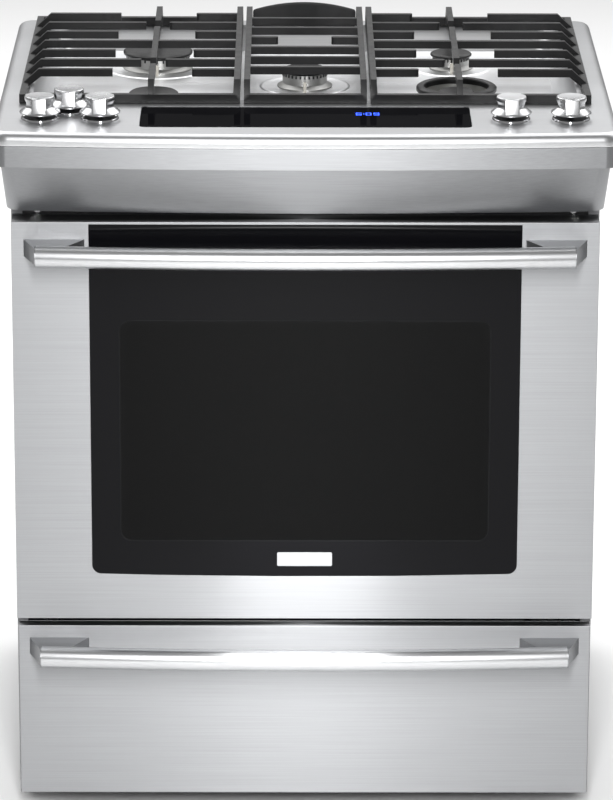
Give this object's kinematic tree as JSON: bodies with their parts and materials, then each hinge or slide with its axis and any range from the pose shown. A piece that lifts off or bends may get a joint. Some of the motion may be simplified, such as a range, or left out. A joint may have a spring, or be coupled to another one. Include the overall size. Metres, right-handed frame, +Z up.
{
  "type": "gas range",
  "caption": "Slide-in style gas range: stainless body, drop-down oven door with window, storage drawer, iron pan supports over a sunken burner deck, top-mounted knobs.",
  "frame": {"origin": "middle of the footprint on the floor, at the underside of the levelling feet", "axes": "+X to the right as seen from the front, +Y to the back, +Z up; the door and drawer face -Y"},
  "size_m": [0.8, 0.7189, 0.962],
  "materials": {
    "stainless": "fine horizontal brushed grain",
    "handle_steel": "satin, brushed lengthwise",
    "knob_metal": "satin plated",
    "stem_brass": "turned",
    "bezel_steel": "polished",
    "badge_metal": "satin",
    "black_glass": "black printed glass",
    "pane_glass": "clear heat-proof glass",
    "iron": "matt black enamel",
    "cap_enamel": "matt black enamel",
    "burner_alloy": "cast, lightly blasted",
    "ceramic": "white ceramic",
    "board_plastic": "moulded",
    "valve_brass": "die cast",
    "pipe_steel": "bare tube",
    "side_paint": "grey powder coat",
    "galvanised": "zinc plated",
    "black_enamel": "gloss black enamel",
    "oven_enamel": "speckled blue-grey enamel",
    "rack_chrome": "plated wire",
    "wool": "mineral wool",
    "gasket_braid": "braided glass fibre",
    "fan_steel": "pressed",
    "lamp_glass": "frosted dome",
    "foot_plastic": "moulded",
    "screw_zinc": "zinc plated"
  },
  "bodies": {
    "root": {"cooktop_sheet": "stainless", "front_trim_band": "stainless", "front_apron": "stainless", "control_glass": "black_glass", "display_board": "board_plastic", "knob_bezels": "bezel_steel", "burner_valves": "valve_brass", "gas_manifold": "pipe_steel", "burner_heads": "burner_alloy", "burner_caps": "cap_enamel", "igniters": "ceramic", "oven_vent_hood": "iron", "side_panel_left": "side_paint", "side_panel_right": "side_paint", "rear_panel": "galvanised", "base_pan": "galvanised", "levelling_feet": "foot_plastic", "front_frame": "black_enamel", "drawer_ceiling": "galvanised", "oven_liner": "oven_enamel", "insulation_wrap": "wool", "oven_gasket": "gasket_braid", "rack_supports": "rack_chrome", "bake_burner": "pipe_steel", "broil_burner": "pipe_steel", "fan_motor": "fan_steel", "oven_lamp": "lamp_glass", "pressure_regulator": "valve_brass", "screws": "screw_zinc", "hinge_brackets": "galvanised", "slide_channels": "galvanised"},
    "door": {"door_skin": "stainless", "door_glass": "black_glass", "door_panes": "pane_glass", "door_liner": "oven_enamel", "door_handle": "handle_steel", "door_handle_ends": "handle_steel", "badge_plate": "badge_metal", "hinge_arms": "galvanised"},
    "drawer": {"drawer_front": "stainless", "drawer_box": "black_enamel", "drawer_rails": "galvanised", "drawer_handle": "handle_steel", "drawer_handle_ends": "handle_steel"},
    "grate_left": {"grate_left": "iron"},
    "grate_centre": {"grate_centre": "iron"},
    "grate_right": {"grate_right": "iron"},
    "rack_lower": {"oven_rack_lower": "rack_chrome"},
    "rack_upper": {"oven_rack_upper": "rack_chrome"},
    "fan": {"convection_fan": "fan_steel"},
    "valve_left_outer": {"valve_stem_left_outer": "stem_brass"},
    "knob_left_outer": {"knob_left_outer": "knob_metal"},
    "valve_left_inner": {"valve_stem_left_inner": "stem_brass"},
    "knob_left_inner": {"knob_left_inner": "knob_metal"},
    "valve_left_rear": {"valve_stem_left_rear": "stem_brass"},
    "knob_left_rear": {"knob_left_rear": "knob_metal"},
    "valve_right_inner": {"valve_stem_right_inner": "stem_brass"},
    "knob_right_inner": {"knob_right_inner": "knob_metal"},
    "valve_right_outer": {"valve_stem_right_outer": "stem_brass"},
    "knob_right_outer": {"knob_right_outer": "knob_metal"}
  },
  "joints": [
    {"name": "door_hinge", "type": "hinge", "parent": "root", "child": "door", "pos_m": [0, -0.2695, 0.302], "axis": [1, 0, 0], "range_deg": [0, 90], "stiffness_Nm_per_rad": 12, "springref_deg": -20.05},
    {"name": "drawer_slide", "type": "slide", "parent": "root", "child": "drawer", "axis": [0, -1, 0], "range_m": [0, 0.35]},
    {"name": "push_left_outer", "type": "slide", "parent": "root", "child": "valve_left_outer", "axis": [0, 0, -1], "range_m": [0, 0.003], "stiffness_N_per_m": 900, "springref_m": -0.006},
    {"name": "turn_left_outer", "type": "hinge", "parent": "valve_left_outer", "child": "knob_left_outer", "pos_m": [-0.341, -0.229, 0.94], "axis": [0, 0, 1], "range_deg": [0, 270]},
    {"name": "push_left_inner", "type": "slide", "parent": "root", "child": "valve_left_inner", "axis": [0, 0, -1], "range_m": [0, 0.003], "stiffness_N_per_m": 900, "springref_m": -0.006},
    {"name": "turn_left_inner", "type": "hinge", "parent": "valve_left_inner", "child": "knob_left_inner", "pos_m": [-0.264, -0.229, 0.94], "axis": [0, 0, 1], "range_deg": [0, 270]},
    {"name": "push_left_rear", "type": "slide", "parent": "root", "child": "valve_left_rear", "axis": [0, 0, -1], "range_m": [0, 0.003], "stiffness_N_per_m": 900, "springref_m": -0.006},
    {"name": "turn_left_rear", "type": "hinge", "parent": "valve_left_rear", "child": "knob_left_rear", "pos_m": [-0.305, -0.18902, 0.94], "axis": [0, 0, 1], "range_deg": [0, 270]},
    {"name": "push_right_inner", "type": "slide", "parent": "root", "child": "valve_right_inner", "axis": [0, 0, -1], "range_m": [0, 0.003], "stiffness_N_per_m": 900, "springref_m": -0.006},
    {"name": "turn_right_inner", "type": "hinge", "parent": "valve_right_inner", "child": "knob_right_inner", "pos_m": [0.264, -0.229, 0.94], "axis": [0, 0, 1], "range_deg": [0, 270]},
    {"name": "push_right_outer", "type": "slide", "parent": "root", "child": "valve_right_outer", "axis": [0, 0, -1], "range_m": [0, 0.003], "stiffness_N_per_m": 900, "springref_m": -0.006},
    {"name": "turn_right_outer", "type": "hinge", "parent": "valve_right_outer", "child": "knob_right_outer", "pos_m": [0.341, -0.229, 0.94], "axis": [0, 0, 1], "range_deg": [0, 270]},
    {"name": "lift_grate_left", "type": "slide", "parent": "root", "child": "grate_left", "axis": [0, 0, 1], "range_m": [0, 0.08]},
    {"name": "lift_grate_centre", "type": "slide", "parent": "root", "child": "grate_centre", "axis": [0, 0, 1], "range_m": [0, 0.08]},
    {"name": "lift_grate_right", "type": "slide", "parent": "root", "child": "grate_right", "axis": [0, 0, 1], "range_m": [0, 0.08]},
    {"name": "slide_rack_lower", "type": "slide", "parent": "root", "child": "rack_lower", "axis": [0, -1, 0], "range_m": [0, 0.024]},
    {"name": "slide_rack_upper", "type": "slide", "parent": "root", "child": "rack_upper", "axis": [0, -1, 0], "range_m": [0, 0.024]},
    {"name": "fan_spin", "type": "hinge", "parent": "root", "child": "fan", "pos_m": [0, 0.21, 0.5525], "axis": [0, 1, 0], "continuous": true}
  ]
}
